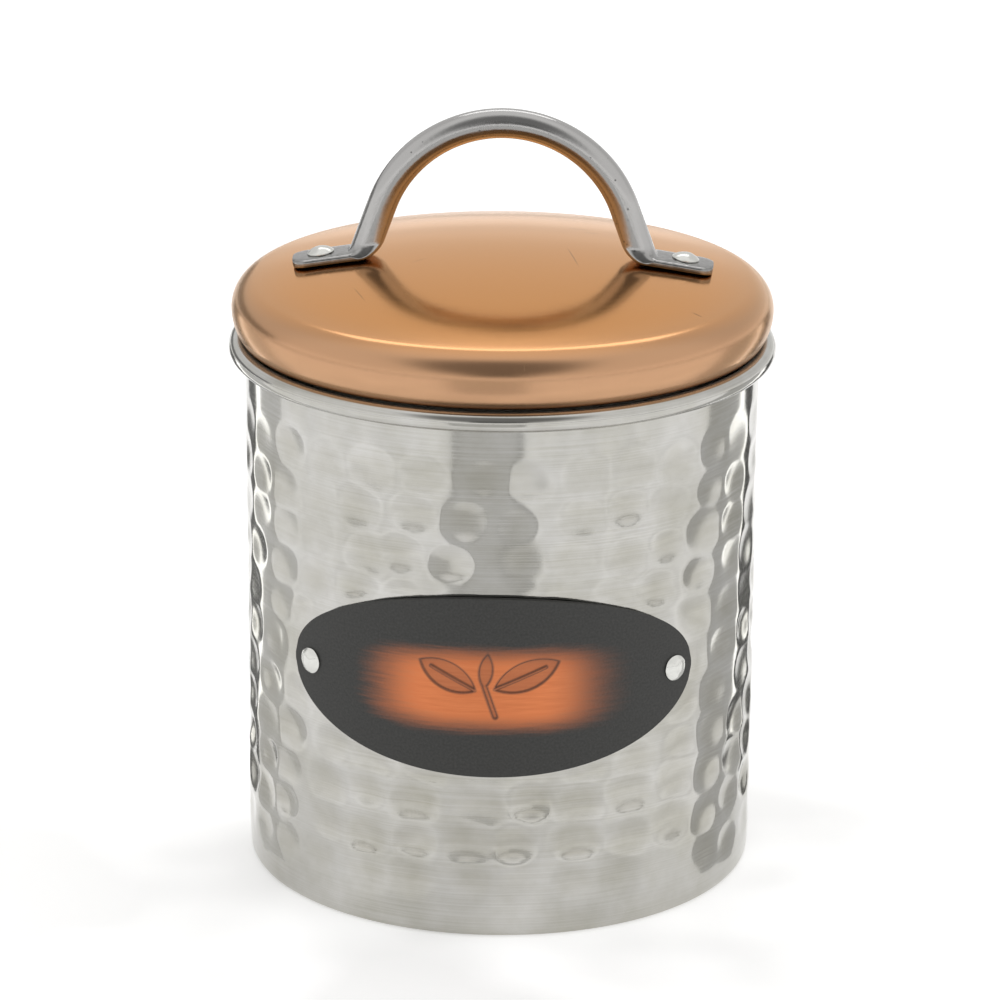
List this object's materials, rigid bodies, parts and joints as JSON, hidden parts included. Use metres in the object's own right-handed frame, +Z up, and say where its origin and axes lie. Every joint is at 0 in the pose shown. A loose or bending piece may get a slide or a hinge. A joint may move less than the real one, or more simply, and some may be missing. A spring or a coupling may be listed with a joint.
{
  "type": "tea caddy",
  "caption": "Round hammered steel tea caddy with a rolled rim, a riveted oval plaque, and a domed copper plug lid with an arched handle.",
  "frame": {"origin": "on the axis, on the surface that the caddy stands on", "axes": "+Z up along the axis, -Y out of the middle of the plaque, X along the handle"},
  "size_m": [0.1214, 0.1214, 0.1722],
  "materials": {
    "hammered_steel": "stainless steel sheet, finely brushed and hammered all over between smooth bands at the rim and the foot, bright",
    "plaque_copper": "copper sheet blackened with a matte patina and rubbed back to bright copper in a soft oblong at its middle",
    "rivet_steel": "bright steel rivets and washers",
    "lid_copper": "copper-plated steel, spun and finely brushed, clear lacquered, with light scratches",
    "plain_steel": "plain satin stainless steel",
    "handle_steel": "satin steel rod with faint drawing lines",
    "silicone": "translucent pale silicone"
  },
  "bodies": {
    "canister": {"canister_body": "hammered_steel", "plaque": "plaque_copper", "plaque_rivet_left": "rivet_steel", "plaque_rivet_right": "rivet_steel", "plaque_washer_left": "rivet_steel", "plaque_washer_right": "rivet_steel"},
    "seal": {"seal_ring": "silicone"},
    "lid": {"lid_cover": "lid_copper", "lid_skirt": "plain_steel", "handle": "handle_steel", "handle_rivet_left": "rivet_steel", "handle_rivet_right": "rivet_steel", "handle_washer_left": "rivet_steel", "handle_washer_right": "rivet_steel"}
  },
  "joints": [
    {"name": "lid_lift", "type": "slide", "parent": "canister", "child": "seal", "axis": [0, 0, 1], "range_m": [0, 0.07]},
    {"name": "lid_turn", "type": "hinge", "parent": "seal", "child": "lid", "pos_m": [0, 0, 0.1211], "axis": [0, 0, 1], "continuous": true}
  ]
}
